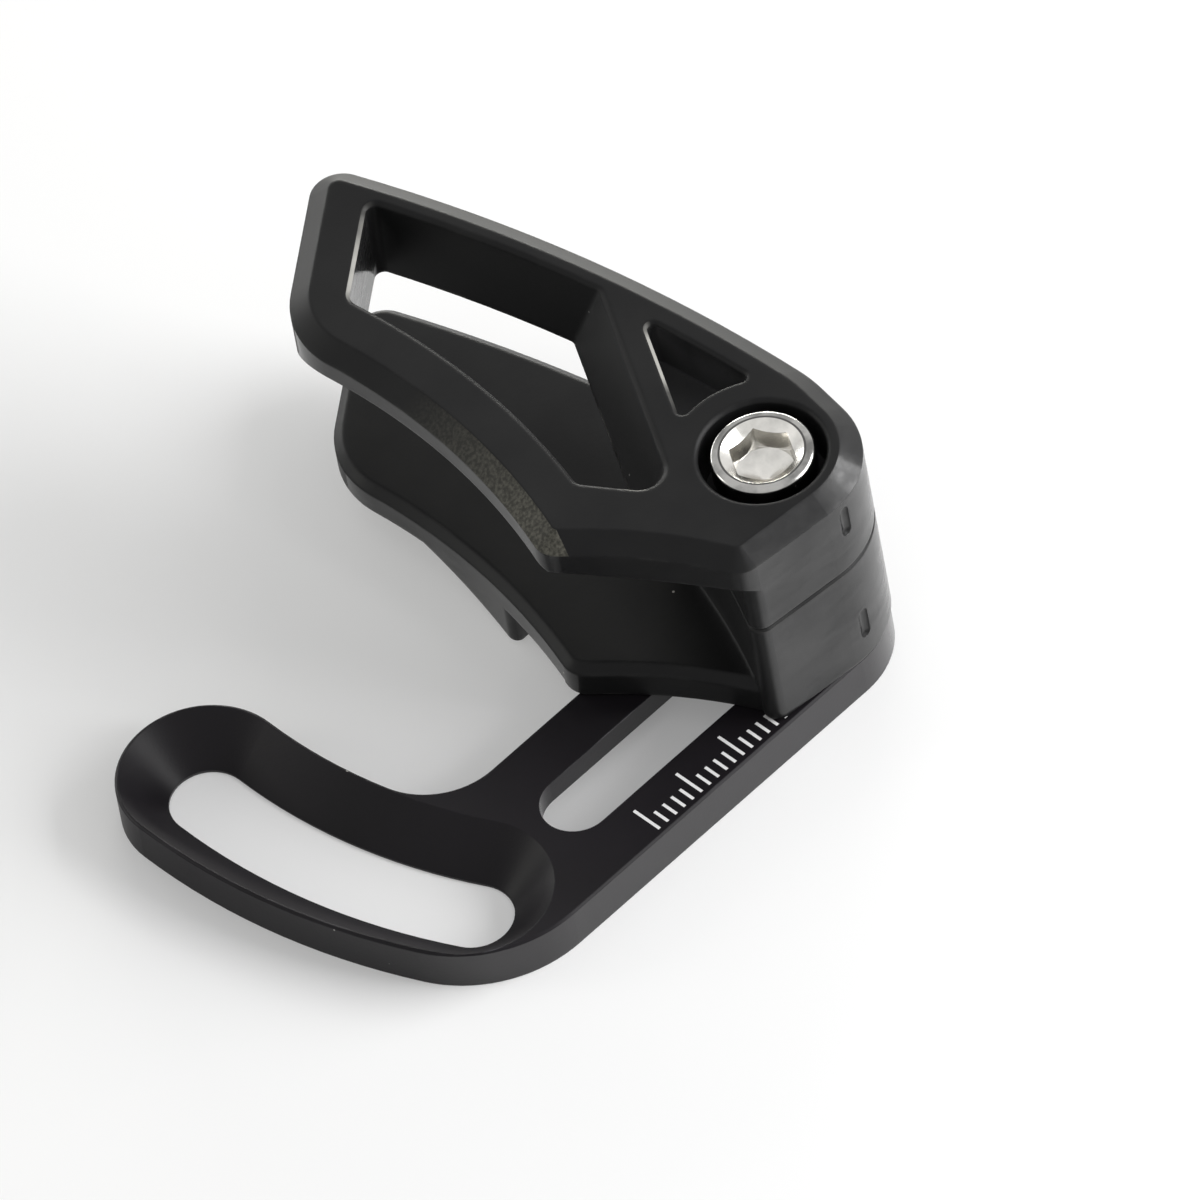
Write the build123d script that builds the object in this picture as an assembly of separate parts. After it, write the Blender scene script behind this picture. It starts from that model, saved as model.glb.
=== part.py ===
from build123d import *
import math
import os

# Bicycle chain guide: a flat plate that is fixed to the frame through a curved slot, and a moulded
# chain cage in two halves that one bolt and a T-nut clamp to the plate's straight slot.
# Sizes are in millimetres and angles in degrees. The pieces are drawn about the clamp bolt's axis,
# with the plate's back face at Z = 0 and +X along the straight slot towards the cage. They are
# written out with the origin moved to the middle of the curved slot.

# Mounting plate: straight arm
PLATE_THICKNESS = 4.0
PLATE_EDGE_BREAK = 0.2
ARM_WIDTH = 16.0
SLOT_WIDTH = 6.1
SLOT_OPEN_END_X = -25.7

# Mounting plate: curved arm and its countersunk slot
CURVE_CENTRE_X = 12.1
CURVE_CENTRE_Y = 24.1
CURVE_RADIUS = 55.0
CURVE_START_ANGLE = 177.6
CURVE_SWEEP = 27.6
CURVED_ARM_WIDTH = 14.8
CURVED_SLOT_WIDTH = 6.7
SINK_WIDTH = 14.2
SINK_ANGLE = 90.0
OUTER_CORNER_RADIUS = 12.0
INNER_CORNER_RADIUS = 7.0

# Clamp nut: a T-nut whose collar passes through the slot and keys the inner cage half
NUT_FLANGE_LENGTH = 11.0
NUT_FLANGE_WIDTH = 9.8
NUT_FLANGE_THICKNESS = 1.6
NUT_COLLAR_LENGTH = 8.0
NUT_KEY_HEIGHT = 1.3
NUT_RECESS = 0.2
NUT_EDGE_BREAK = 0.2

# Clamp bolt: socket head cap bolt
BOLT_DIAMETER = 5.0
BOLT_HEAD_DIAMETER = 8.8
BOLT_HEAD_HEIGHT = 5.0
BOLT_HEAD_PROUD = 0.1
BOLT_HEAD_ROUND = 0.5
BOLT_TIP_CHAMFER = 0.6
HEX_ACROSS_FLATS = 5.0
HEX_DEPTH = 2.7
HEX_MOUTH_DIAMETER = 7.0
HEX_MOUTH_ANGLE = 110.0
HEX_POINT_ANGLE = 130.0

# Clearances
SLIDE_CLEARANCE = 0.15
SLOT_END_CLEARANCE = 0.3
KEY_CLEARANCE = 0.1
BOLT_HOLE_CLEARANCE = 0.25
THREAD_CLEARANCE = 0.05

# Cage outline: a round boss with a flat face, a bowed far edge up to the tip, a straight end edge, a
# concave edge about the chainring's axis and a hollow diagonal back to the boss's face
BOSS_RADIUS = 8.2
BOSS_FACE_TILT = 5.5
BOSS_FACE_LENGTH = 9.2
FAR_FOOT_OUT = 0.55
FAR_FOOT_Y = 3.0
FAR_FOOT_ROUND = 15.0
TIP_X = -0.55
TIP_Y = 51.48
FAR_EDGE_BOW = 2.04
END_EDGE_ANGLE = 216.0
RING_X = -76.8
RING_Y = 29.0
GUARD_RADIUS = 61.9
DIAGONAL_ANGLE = 121.5
DIAGONAL_BOW = 0.9
TIP_ROUND = 2.6
END_CORNER_ROUND = 8.5
TOP_CORNER_ROUND = 0.6

# Cage heights
BASE_HEIGHT = 3.4
INNER_BOSS_HEIGHT = 8.3
OUTER_BOSS_HEIGHT = 1.8
OUTER_HEIGHT = 7.5

# Boss block between the two guide plates, with its chain-side wall about the chainring's axis
BOSS_WALL_RADIUS = 76.0
BOSS_END_Y = 11.0
BOSS_BLOCK_ROUND = 1.2
BOSS_EDGE_ROUND = 1.2
SEAM_CHAMFER = 0.25
GATE_MARK_ANGLE = 276.0
GATE_MARK_RADIUS = 0.7
GATE_MARK_HEIGHT = 2.2
GATE_MARK_DEPTH = 0.3
INNER_MARK_LEVEL = 8.1
OUTER_MARK_LEVEL = 21.3

# Inner cage half
WING_EDGE_INSET = 0.8
WING_END_INSET = 1.5
BASE_EDGE_INSET = 1.3
WING_LIFT = 0.5
WING_BEVEL = 0.8
BASE_EDGE_BREAK = 0.2
BASE_OVERHANG = 1.5
RIB_WIDTH = 2.6
RIB_START_Y = 18.0
RIB_LENGTH = 11.0
RIB_FLOOR_GAP = 0.4
RIB_END_ROUND = 0.8

# Outer cage half
EDGE_THICKNESS = 3.2
TOP_BEVEL_WIDTH = 1.8
TOP_BEVEL_DEPTH = 1.3
BOSS_TOP_LAND = 0.3
LEAD_IN = 4.6
NEAR_RAIL = 5.7
END_RAIL = 5.2
FAR_RAIL = 3.0
FOOT_RAIL = 7.15
FAR_DRAFT = 8.0
STRUT_ANGLE = 60.0
STRUT_WIDTH = 2.5
STRUT_DRAFT = 20.0
WINDOW_ROUND = 1.2
WINDOW_FAR_ROUND = 0.8
STRUT_FOOT_ROUND = 2.0
RIM_BREAK = 0.3
COUNTERBORE_DIAMETER = 10.7
BOSS_RING_WALL = 2.55
POCKET_DEPTH = 5.0
POCKET_FAR_RAIL = 3.55
POCKET_ROUND = 0.5
CUT_MARGIN = 1.0

# Levels above the plate's back face
base_top = PLATE_THICKNESS + BASE_HEIGHT
seam = base_top + INNER_BOSS_HEIGHT
underside = seam + OUTER_BOSS_HEIGHT
cage_top = underside + OUTER_HEIGHT
edge_bottom = cage_top - EDGE_THICKNESS
wing_bottom = PLATE_THICKNESS + WING_LIFT
head_seat = cage_top + BOLT_HEAD_PROUD - BOLT_HEAD_HEIGHT

# Sizes that follow from the ones above; the top bevel is limited by the wall round the counterbore
nut_collar_width = SLOT_WIDTH - 2 * SLIDE_CLEARANCE
rebate_width = NUT_FLANGE_WIDTH + 2 * SLIDE_CLEARANCE
rebate_depth = NUT_FLANGE_THICKNESS + NUT_RECESS
bolt_hole_radius = BOLT_DIAMETER / 2 + BOLT_HOLE_CLEARANCE
counterbore_radius = COUNTERBORE_DIAMETER / 2
boss_ring_radius = counterbore_radius + BOSS_RING_WALL
boss_top_wall = BOSS_RADIUS - counterbore_radius - RIM_BREAK - BOSS_TOP_LAND
top_bevel_width = min(TOP_BEVEL_WIDTH, boss_top_wall)
small_corner_round = TOP_BEVEL_WIDTH + TOP_CORNER_ROUND
below = (Align.CENTER, Align.CENTER, Align.MAX)
ring_axis = (RING_X, RING_Y)
curve_centre = (CURVE_CENTRE_X, CURVE_CENTRE_Y)
tip = (TIP_X, TIP_Y)

# The far edge is an arc from its foot beside the boss to the tip
far_foot = (BOSS_RADIUS + FAR_FOOT_OUT, FAR_FOOT_Y)
far_chord = math.dist(far_foot, tip)
far_radius = (far_chord**2 / 4 + FAR_EDGE_BOW**2) / (2 * FAR_EDGE_BOW)
far_depth = far_radius - FAR_EDGE_BOW
far_centre = (
    (far_foot[0] + TIP_X) / 2 - far_depth * (TIP_Y - FAR_FOOT_Y) / far_chord,
    (FAR_FOOT_Y + TIP_Y) / 2 - far_depth * (far_foot[0] - TIP_X) / far_chord,
)


def polar(centre, radius, angle):
    """The point at an angle on a circle."""
    turn = math.radians(angle)
    return (centre[0] + radius * math.cos(turn), centre[1] + radius * math.sin(turn))


def bearing(centre, point):
    """The angle from a centre to a point, from 0 to 360."""
    return math.degrees(math.atan2(point[1] - centre[1], point[0] - centre[0])) % 360


def arc_between(centre, start, end):
    """The shorter arc about a centre from one point to another."""
    radius = math.dist(centre, start)
    first = bearing(centre, start)
    sweep = (bearing(centre, end) - first + 180) % 360 - 180
    return CenterArc(centre, radius, first, sweep)


def line_to_circle(point, angle, centre, radius, far_side=False):
    """Where a line from a point meets a circle, on its near or far side."""
    turn = math.radians(angle)
    along = (point[0] - centre[0]) * math.cos(turn) + (point[1] - centre[1]) * math.sin(turn)
    reach = along**2 - math.dist(point, centre) ** 2 + radius**2
    step = -along + math.sqrt(reach) * (1 if far_side else -1)
    return polar(point, step, angle)


def line_to_line(point, angle, other, other_angle):
    """Where two lines cross."""
    turn = math.radians(angle)
    other_turn = math.radians(other_angle)
    gap_x = other[0] - point[0]
    gap_y = other[1] - point[1]
    cross = math.sin(other_turn - turn)
    step = (gap_x * math.sin(other_turn) - gap_y * math.cos(other_turn)) / cross
    return polar(point, step, angle)


def corner(sketch, point):
    """The vertex of a sketch that is nearest to a point."""
    return sketch.vertices().sort_by_distance((point[0], point[1], 0))[0]


def obround(length, width):
    """A slot shape with round ends, by its overall length."""
    return SlotCenterToCenter(length - width, width)


def slot_between(start_x, end_x, width):
    """A slot along X, by the centres of its round ends."""
    return Pos((start_x + end_x) / 2, 0, 0) * SlotCenterToCenter(end_x - start_x, width)


# The boss's flat face runs from its tangent point to the diagonal
face_angle = 180 - BOSS_FACE_TILT
face_start = polar((0, 0), BOSS_RADIUS, 270 - BOSS_FACE_TILT)
face_end = polar(face_start, BOSS_FACE_LENGTH, face_angle)

# The boss's round side runs from the flat face to a line that is tangent to it and meets the far edge
side_turn = math.degrees(math.acos(BOSS_RADIUS / math.hypot(*far_foot)))
side_angle = math.degrees(math.atan2(far_foot[1], far_foot[0])) - side_turn
side_start = polar((0, 0), BOSS_RADIUS, side_angle)


def plate_outline():
    """The straight arm and the curved arm in one outline, with blended corners between them."""
    half = ARM_WIDTH / 2
    outer = CURVE_RADIUS + CURVED_ARM_WIDTH / 2
    inner = CURVE_RADIUS - CURVED_ARM_WIDTH / 2
    outer_y = OUTER_CORNER_RADIUS - half
    outer_x = CURVE_CENTRE_X - math.sqrt((outer - OUTER_CORNER_RADIUS) ** 2 - (outer_y - CURVE_CENTRE_Y) ** 2)
    inner_y = INNER_CORNER_RADIUS + half
    inner_x = CURVE_CENTRE_X - math.sqrt((inner - INNER_CORNER_RADIUS) ** 2 - (inner_y - CURVE_CENTRE_Y) ** 2)
    outer_angle = bearing(curve_centre, (outer_x, outer_y))
    inner_angle = bearing(curve_centre, (inner_x, inner_y))
    arm_tip = polar(curve_centre, CURVE_RADIUS, CURVE_START_ANGLE)
    return make_face(
        [
            Line((0, -half), (outer_x, -half)),
            CenterArc((outer_x, outer_y), OUTER_CORNER_RADIUS, 270, outer_angle - 270),
            CenterArc(curve_centre, outer, outer_angle, CURVE_START_ANGLE - outer_angle),
            CenterArc(arm_tip, CURVED_ARM_WIDTH / 2, CURVE_START_ANGLE, -180),
            CenterArc(curve_centre, inner, CURVE_START_ANGLE, inner_angle - CURVE_START_ANGLE),
            CenterArc((inner_x, inner_y), INNER_CORNER_RADIUS, inner_angle, 270 - inner_angle),
            Line((inner_x, half), (0, half)),
            CenterArc((0, 0), half, 90, -180),
        ]
    )


def mounting_plate():
    """Flat plate with a rebated straight slot and a countersunk curved slot."""
    plate = extrude(plate_outline(), PLATE_THICKNESS)
    plate = chamfer(plate.faces().sort_by(Axis.Z)[-1].edges(), PLATE_EDGE_BREAK)

    slot_end = (NUT_COLLAR_LENGTH - nut_collar_width) / 2 + SLOT_END_CLEARANCE
    plate -= extrude(slot_between(SLOT_OPEN_END_X, slot_end, SLOT_WIDTH), PLATE_THICKNESS)
    rebate_end = (NUT_FLANGE_LENGTH - NUT_FLANGE_WIDTH) / 2 + SLOT_END_CLEARANCE
    plate -= extrude(slot_between(SLOT_OPEN_END_X, rebate_end, rebate_width), rebate_depth)

    centreline = CenterArc(curve_centre, CURVE_RADIUS, CURVE_START_ANGLE, CURVE_SWEEP)
    plate -= extrude(SlotArc(centreline, CURVED_SLOT_WIDTH), PLATE_THICKNESS)
    sink_depth = (SINK_WIDTH - CURVED_SLOT_WIDTH) / 2 / math.tan(math.radians(SINK_ANGLE / 2))
    sink_mouth = Pos(0, 0, PLATE_THICKNESS) * SlotArc(centreline, SINK_WIDTH)
    sink_throat = Pos(0, 0, PLATE_THICKNESS - sink_depth) * SlotArc(centreline, CURVED_SLOT_WIDTH)
    plate -= loft([sink_throat, sink_mouth], ruled=True)
    return plate


def boss_round():
    """The boss's round side, from its flat face to the line to the far edge."""
    return CenterArc((0, 0), BOSS_RADIUS, 270 - BOSS_FACE_TILT, 90 + BOSS_FACE_TILT + side_angle)


def cage_outline(edge_inset=0.0, end_inset=0.0, diagonal_inset=0.0):
    """The cage's outline with rounded corners; its concave, end and diagonal edges can be set inwards."""
    guard = GUARD_RADIUS + edge_inset
    diagonal_point = polar(face_end, diagonal_inset, DIAGONAL_ANGLE - 90)
    diagonal_start = line_to_line(face_start, face_angle, diagonal_point, DIAGONAL_ANGLE)
    diagonal_corner = line_to_circle(diagonal_start, DIAGONAL_ANGLE, ring_axis, guard)
    end_start = polar(tip, end_inset, END_EDGE_ANGLE + 90)
    end_tip = line_to_circle(end_start, END_EDGE_ANGLE, far_centre, far_radius)
    end_corner = line_to_circle(end_start, END_EDGE_ANGLE, ring_axis, guard)
    diagonal_middle = polar(diagonal_start, math.dist(diagonal_start, diagonal_corner) / 2, DIAGONAL_ANGLE)
    diagonal_hollow = polar(diagonal_middle, DIAGONAL_BOW, DIAGONAL_ANGLE - 90)
    outline = make_face(
        [
            Line(diagonal_start, face_start),
            boss_round(),
            Line(side_start, far_foot),
            arc_between(far_centre, far_foot, end_tip),
            Line(end_tip, end_corner),
            arc_between(ring_axis, end_corner, diagonal_corner),
            ThreePointArc(diagonal_corner, diagonal_hollow, diagonal_start),
        ]
    )
    outline = fillet(corner(outline, far_foot), FAR_FOOT_ROUND)
    outline = fillet(corner(outline, end_tip), TIP_ROUND)
    outline = fillet(corner(outline, end_corner), END_CORNER_ROUND)
    outline = fillet(corner(outline, diagonal_corner), small_corner_round)
    return fillet(corner(outline, diagonal_start), small_corner_round)


def boss_outline():
    """The block round the bolt that holds the two guide plates apart."""
    wall_start = line_to_circle(face_start, face_angle, ring_axis, BOSS_WALL_RADIUS)
    wall_end = line_to_circle((0, BOSS_END_Y), 180, ring_axis, BOSS_WALL_RADIUS)
    far_end = line_to_circle((0, BOSS_END_Y), 0, far_centre, far_radius, far_side=True)
    outline = make_face(
        [
            Line(wall_start, face_start),
            boss_round(),
            Line(side_start, far_foot),
            arc_between(far_centre, far_foot, far_end),
            Line(far_end, wall_end),
            arc_between(ring_axis, wall_end, wall_start),
        ]
    )
    outline = fillet(corner(outline, far_foot), FAR_FOOT_ROUND)
    outline = fillet(corner(outline, wall_start), BOSS_EDGE_ROUND)
    outline = fillet(corner(outline, wall_end), BOSS_BLOCK_ROUND)
    return fillet(corner(outline, far_end), BOSS_BLOCK_ROUND)


def gate_mark(level):
    """The shallow upright groove that the moulding gate leaves on the boss."""
    axis_point = polar((0, 0), BOSS_RADIUS + GATE_MARK_RADIUS - GATE_MARK_DEPTH, GATE_MARK_ANGLE)
    ball = Sphere(GATE_MARK_RADIUS)
    groove = Cylinder(GATE_MARK_RADIUS, GATE_MARK_HEIGHT)
    groove += Pos(0, 0, GATE_MARK_HEIGHT / 2) * ball + Pos(0, 0, -GATE_MARK_HEIGHT / 2) * ball
    return Pos(axis_point[0], axis_point[1], level) * groove


def chain_side_rib():
    """A rib under the wing's concave edge that drops beside the plate and runs out into the wing."""
    rib_end_y = RIB_START_Y + RIB_LENGTH
    rib_top = base_top - WING_BEVEL
    profile = Plane.YZ * make_face(
        Polyline(
            (RIB_START_Y, RIB_FLOOR_GAP),
            (RIB_START_Y, rib_top),
            (rib_end_y, rib_top),
            (rib_end_y, wing_bottom),
            close=True,
        )
    )
    inner_radius = GUARD_RADIUS + WING_EDGE_INSET
    band = Circle(inner_radius + RIB_WIDTH) - Circle(inner_radius)
    band = Pos(*ring_axis) * extrude(band, base_top)
    rib = extrude(profile, RING_X, both=True) & band
    rib = rib.solids().sort_by(Axis.X)[-1]
    front = rib.faces().sort_by(Axis.Y)[0]
    return fillet(front.edges().filter_by(Axis.Z), RIB_END_ROUND)


def inner_cage():
    """Half that sits on the plate: base, boss and inner wing."""
    wing_outline = cage_outline(WING_EDGE_INSET, WING_END_INSET, BASE_EDGE_INSET) + boss_outline()
    base_edge = ARM_WIDTH / 2 + BASE_OVERHANG
    on_plate = Pos(0, base_edge - TIP_Y / 2, 0) * Rectangle(-2 * RING_X, TIP_Y)
    wing = Pos(0, 0, wing_bottom) * extrude(wing_outline, base_top - wing_bottom)
    half = chamfer(wing.faces().sort_by(Axis.Z)[-1].edges(), WING_BEVEL)
    base = Pos(0, 0, PLATE_THICKNESS) * extrude(wing_outline & on_plate, BASE_HEIGHT - WING_BEVEL)
    half += chamfer(base.faces().sort_by(Axis.Z)[0].edges(), BASE_EDGE_BREAK)
    half += chain_side_rib()

    block = Pos(0, 0, wing_bottom) * extrude(boss_outline(), seam - wing_bottom)
    half += chamfer(block.faces().sort_by(Axis.Z)[-1].edges(), SEAM_CHAMFER)
    half -= gate_mark(INNER_MARK_LEVEL)

    key = obround(NUT_COLLAR_LENGTH + 2 * KEY_CLEARANCE, nut_collar_width + 2 * KEY_CLEARANCE)
    half -= Pos(0, 0, PLATE_THICKNESS) * extrude(key, NUT_KEY_HEIGHT + KEY_CLEARANCE)
    half -= extrude(Circle(bolt_hole_radius), cage_top)
    return half


def lead_in_outline(level):
    """What the lead-in leaves at a level: all that lies behind the concave and diagonal edges there."""
    inset = LEAD_IN * (edge_bottom - level) / (edge_bottom - underside)
    guard = GUARD_RADIUS + inset
    diagonal_start = polar(face_end, inset, DIAGONAL_ANGLE - 90)
    diagonal_corner = line_to_circle(diagonal_start, DIAGONAL_ANGLE, ring_axis, guard)
    low_y = -2 * BOSS_RADIUS
    high_y = TIP_Y + BOSS_RADIUS
    far_x = 2 * BOSS_RADIUS
    diagonal_end = line_to_line(diagonal_start, DIAGONAL_ANGLE, (0, low_y), 0)
    guard_end = line_to_circle((far_x, high_y), 180, ring_axis, guard)
    outline = make_face(
        [
            Line(diagonal_end, (far_x, low_y)),
            Line((far_x, low_y), (far_x, high_y)),
            Line((far_x, high_y), guard_end),
            arc_between(ring_axis, guard_end, diagonal_corner),
            Line(diagonal_corner, diagonal_end),
        ]
    )
    return Pos(0, 0, level) * outline


def window_outline(level):
    """The window's outline at a level; its far wall and strut wall lean in towards the underside."""
    depth = cage_top - level
    guard = GUARD_RADIUS + NEAR_RAIL
    far = far_radius - FAR_RAIL - depth * math.tan(math.radians(FAR_DRAFT))
    strut_offset = boss_ring_radius + depth * math.tan(math.radians(STRUT_DRAFT))
    strut_foot = polar((0, 0), strut_offset, STRUT_ANGLE + 90)
    end_start = polar(tip, END_RAIL, END_EDGE_ANGLE + 90)
    foot_start = polar(face_end, FOOT_RAIL, DIAGONAL_ANGLE - 90)

    end_near = line_to_circle(end_start, END_EDGE_ANGLE, ring_axis, guard)
    end_far = line_to_circle(end_start, END_EDGE_ANGLE, far_centre, far)
    strut_far = line_to_circle(strut_foot, STRUT_ANGLE, far_centre, far, far_side=True)
    strut_end = line_to_line(strut_foot, STRUT_ANGLE, foot_start, DIAGONAL_ANGLE)
    foot_near = line_to_circle(foot_start, DIAGONAL_ANGLE, ring_axis, guard)
    outline = make_face(
        [
            Line(end_near, end_far),
            arc_between(far_centre, end_far, strut_far),
            Line(strut_far, strut_end),
            Line(strut_end, foot_near),
            arc_between(ring_axis, foot_near, end_near),
        ]
    )
    outline = fillet(corner(outline, end_near), WINDOW_ROUND)
    outline = fillet(corner(outline, foot_near), WINDOW_ROUND)
    outline = fillet(corner(outline, end_far), WINDOW_FAR_ROUND)
    outline = fillet(corner(outline, strut_far), WINDOW_FAR_ROUND)
    return Pos(0, 0, level) * fillet(corner(outline, strut_end), STRUT_FOOT_ROUND)


def pocket_outline():
    """The three-sided pocket between the bolt's boss ring, the strut and the far edge."""
    far = far_radius - POCKET_FAR_RAIL
    strut_foot = polar((0, 0), boss_ring_radius - STRUT_WIDTH, STRUT_ANGLE + 90)
    strut_near = line_to_circle(strut_foot, STRUT_ANGLE, (0, 0), boss_ring_radius, far_side=True)
    strut_far = line_to_circle(strut_foot, STRUT_ANGLE, far_centre, far, far_side=True)
    span = math.dist((0, 0), far_centre)
    far_angle = math.acos((boss_ring_radius**2 + span**2 - far**2) / (2 * boss_ring_radius * span))
    ring_far = polar((0, 0), boss_ring_radius, bearing((0, 0), far_centre) - math.degrees(far_angle))
    outline = make_face(
        [
            Line(strut_near, strut_far),
            arc_between(far_centre, strut_far, ring_far),
            arc_between((0, 0), ring_far, strut_near),
        ]
    )
    return fillet(outline.vertices(), POCKET_ROUND)


def outer_cage():
    """Half on top: a bevelled guide plate with a window, a strut, a blind pocket and a counterbore."""
    half = Pos(0, 0, underside) * extrude(cage_outline(), OUTER_HEIGHT)
    top = half.faces().sort_by(Axis.Z)[-1]
    half = chamfer(top.edges(), top_bevel_width, TOP_BEVEL_DEPTH, reference=top)

    # Below their strip the chain-side edges lean in, so that the chain is led into the channel
    lead_in_top = lead_in_outline(cage_top + CUT_MARGIN)
    lead_in_bottom = lead_in_outline(underside - CUT_MARGIN)
    half &= loft([lead_in_bottom, lead_in_top], ruled=True)

    window_top = window_outline(cage_top + CUT_MARGIN)
    window_bottom = window_outline(underside - CUT_MARGIN)
    half -= loft([window_bottom, window_top], ruled=True)

    block = Pos(0, 0, seam) * extrude(boss_outline(), edge_bottom - seam)
    half += chamfer(block.faces().sort_by(Axis.Z)[0].edges(), SEAM_CHAMFER)
    half -= gate_mark(OUTER_MARK_LEVEL)
    half -= Pos(0, 0, cage_top - POCKET_DEPTH) * extrude(pocket_outline(), POCKET_DEPTH)

    # The window's and the pocket's rims in the top face are broken before the counterbore is cut
    rims = half.faces().filter_by(Plane.XY).sort_by(Axis.Z)[-1].inner_wires()
    half = chamfer(rims.edges(), RIM_BREAK)
    half -= Pos(0, 0, head_seat) * extrude(Circle(counterbore_radius), cage_top - head_seat)
    rim_radius = counterbore_radius + RIM_BREAK
    half -= Pos(0, 0, cage_top) * Cone(counterbore_radius, rim_radius, RIM_BREAK, align=below)
    return half - extrude(Circle(bolt_hole_radius), cage_top)


def clamp_bolt():
    """Socket head cap bolt, its shank drawn at the thread's outer diameter."""
    head = Pos(0, 0, head_seat) * extrude(Circle(BOLT_HEAD_DIAMETER / 2), BOLT_HEAD_HEIGHT)
    head = fillet(head.faces().sort_by(Axis.Z)[-1].edges(), BOLT_HEAD_ROUND)
    shank = Pos(0, 0, NUT_RECESS) * extrude(Circle(BOLT_DIAMETER / 2), head_seat - NUT_RECESS)
    bolt = head + chamfer(shank.faces().sort_by(Axis.Z)[0].edges(), BOLT_TIP_CHAMFER)

    head_top = head_seat + BOLT_HEAD_HEIGHT
    hexagon = RegularPolygon(HEX_ACROSS_FLATS / 2, 6, major_radius=False)
    bolt -= Pos(0, 0, head_top - HEX_DEPTH) * extrude(hexagon, HEX_DEPTH)
    mouth_depth = HEX_MOUTH_DIAMETER / 2 / math.tan(math.radians(HEX_MOUTH_ANGLE / 2))
    bolt -= Pos(0, 0, head_top) * Cone(0, HEX_MOUTH_DIAMETER / 2, mouth_depth, align=below)
    point_depth = HEX_ACROSS_FLATS / 2 / math.tan(math.radians(HEX_POINT_ANGLE / 2))
    return bolt - Pos(0, 0, head_top - HEX_DEPTH) * Cone(0, HEX_ACROSS_FLATS / 2, point_depth, align=below)


def clamp_nut():
    """T-nut: a flange that can't turn in the plate's rebate and a collar through the slot."""
    flange = extrude(obround(NUT_FLANGE_LENGTH, NUT_FLANGE_WIDTH), NUT_FLANGE_THICKNESS)
    flange = chamfer(flange.faces().sort_by(Axis.Z)[0].edges(), NUT_EDGE_BREAK)
    collar_height = PLATE_THICKNESS - NUT_RECESS + NUT_KEY_HEIGHT
    collar = extrude(obround(NUT_COLLAR_LENGTH, nut_collar_width), collar_height)
    bore = extrude(Circle(BOLT_DIAMETER / 2 + THREAD_CLEARANCE), collar_height)
    return Pos(0, 0, NUT_RECESS) * (flange + collar - bore)


slot_middle = polar(curve_centre, CURVE_RADIUS, CURVE_START_ANGLE + CURVE_SWEEP / 2)
to_slot_middle = Pos(-slot_middle[0], -slot_middle[1], 0)
nodes = {
    "mounting_plate": mounting_plate(),
    "inner_cage": inner_cage(),
    "outer_cage": outer_cage(),
    "clamp_bolt": clamp_bolt(),
    "clamp_nut": clamp_nut(),
}

os.makedirs("parts", exist_ok=True)
for name, shape in nodes.items():
    export_step(to_slot_middle * shape, f"parts/{name}.step")
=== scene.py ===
import bpy
from mathutils import Matrix, Vector

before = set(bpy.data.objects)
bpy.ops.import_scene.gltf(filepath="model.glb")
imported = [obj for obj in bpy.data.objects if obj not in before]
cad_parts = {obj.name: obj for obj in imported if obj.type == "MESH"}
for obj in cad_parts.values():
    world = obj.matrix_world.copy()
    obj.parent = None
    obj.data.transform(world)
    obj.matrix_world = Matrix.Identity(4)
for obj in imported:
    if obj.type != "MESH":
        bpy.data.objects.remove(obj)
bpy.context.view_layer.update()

bpy.context.scene.view_settings.view_transform = "Standard"


# Mounting plate: 4 mm aluminium, milled to shape with its edges broken, blasted to a fine satin and dyed
# black by anodising. The curved slot is countersunk all round, so that the plate can be turned on the
# frame before it is made fast, and a printed scale beside the straight slot shows where the cage sits.

# Softened edges, and the corners that stand out painted lighter in patches, partly rubbed wear from
# hands and tools and partly a painted highlight where edges catch the light, for every finish
edge_group = bpy.data.node_groups.new("softened_edge", "ShaderNodeTree")
edge_group.interface.new_socket("Radius", in_out="INPUT", socket_type="NodeSocketFloat")
edge_group.interface.new_socket("Patch size", in_out="INPUT", socket_type="NodeSocketFloat")
edge_group.interface.new_socket("Normal", in_out="OUTPUT", socket_type="NodeSocketVector")
edge_group.interface.new_socket("Rubbed and highlit", in_out="OUTPUT", socket_type="NodeSocketFloat")
edge_in = edge_group.nodes.new("NodeGroupInput")
edge_out = edge_group.nodes.new("NodeGroupOutput")
edge_round = edge_group.nodes.new("ShaderNodeBevel")
edge_round.samples = 8
edge_inside = edge_group.nodes.new("ShaderNodeAmbientOcclusion")
edge_inside.inside = True
edge_inside.only_local = True
edge_inside.samples = 8
edge_corner = edge_group.nodes.new("ShaderNodeMapRange")
edge_corner.inputs["From Min"].default_value = 0.9
edge_corner.inputs["From Max"].default_value = 0.55
edge_place = edge_group.nodes.new("ShaderNodeTexCoord")
edge_scale = edge_group.nodes.new("ShaderNodeMath")
edge_scale.operation = "DIVIDE"
edge_scale.inputs[0].default_value = 1.0
edge_noise = edge_group.nodes.new("ShaderNodeTexNoise")
edge_noise.inputs["Detail"].default_value = 4.0
edge_patches = edge_group.nodes.new("ShaderNodeMapRange")
edge_patches.inputs["From Min"].default_value = 0.5
edge_patches.inputs["From Max"].default_value = 0.68
edge_wear_and_highlight = edge_group.nodes.new("ShaderNodeMath")
edge_wear_and_highlight.operation = "MULTIPLY"
edge_links = edge_group.links
edge_links.new(edge_in.outputs["Radius"], edge_round.inputs["Radius"])
edge_links.new(edge_in.outputs["Radius"], edge_inside.inputs["Distance"])
edge_links.new(edge_round.outputs["Normal"], edge_out.inputs["Normal"])
edge_links.new(edge_inside.outputs["AO"], edge_corner.inputs["Value"])
edge_links.new(edge_in.outputs["Patch size"], edge_scale.inputs[1])
edge_links.new(edge_scale.outputs["Value"], edge_noise.inputs["Scale"])
edge_links.new(edge_place.outputs["Object"], edge_noise.inputs["Vector"])
edge_links.new(edge_noise.outputs["Fac"], edge_patches.inputs["Value"])
edge_links.new(edge_corner.outputs["Result"], edge_wear_and_highlight.inputs[0])
edge_links.new(edge_patches.outputs["Result"], edge_wear_and_highlight.inputs[1])
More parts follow.
